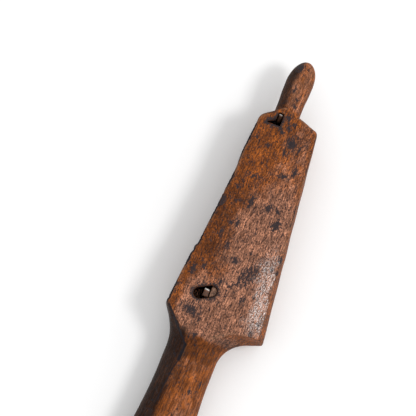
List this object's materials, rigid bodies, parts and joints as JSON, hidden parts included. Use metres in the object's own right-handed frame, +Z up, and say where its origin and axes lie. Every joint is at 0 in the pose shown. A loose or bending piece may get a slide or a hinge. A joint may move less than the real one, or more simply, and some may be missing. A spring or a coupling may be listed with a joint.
{
  "type": "muddler",
  "caption": "Hand-carved wooden muddler: grip, flat tapered bed and round finger in one stock, with a two-tanged iron under the bed",
  "frame": {"origin": "middle of the tool's box on the surface it lies on", "axes": "+X along the tool from the grip's butt to the finger's tip, +Y to the left of the bed, +Z up out of the bed's flat face"},
  "size_m": [0.28, 0.0558, 0.0286],
  "materials": {
    "stock_wood": "old oiled hardwood, worn to a soft gloss",
    "forged_iron": "rust-browned forging with a bright edge",
    "wedge_wood": "dry, iron-stained"
  },
  "bodies": {
    "stock": {"stock": "stock_wood", "tang_wedge": "wedge_wood"},
    "iron": {"iron": "forged_iron"}
  },
  "joints": [
    {"name": "iron_set", "type": "slide", "parent": "stock", "child": "iron", "axis": [0, 0, 1], "range_m": [0, 0.0025]}
  ]
}
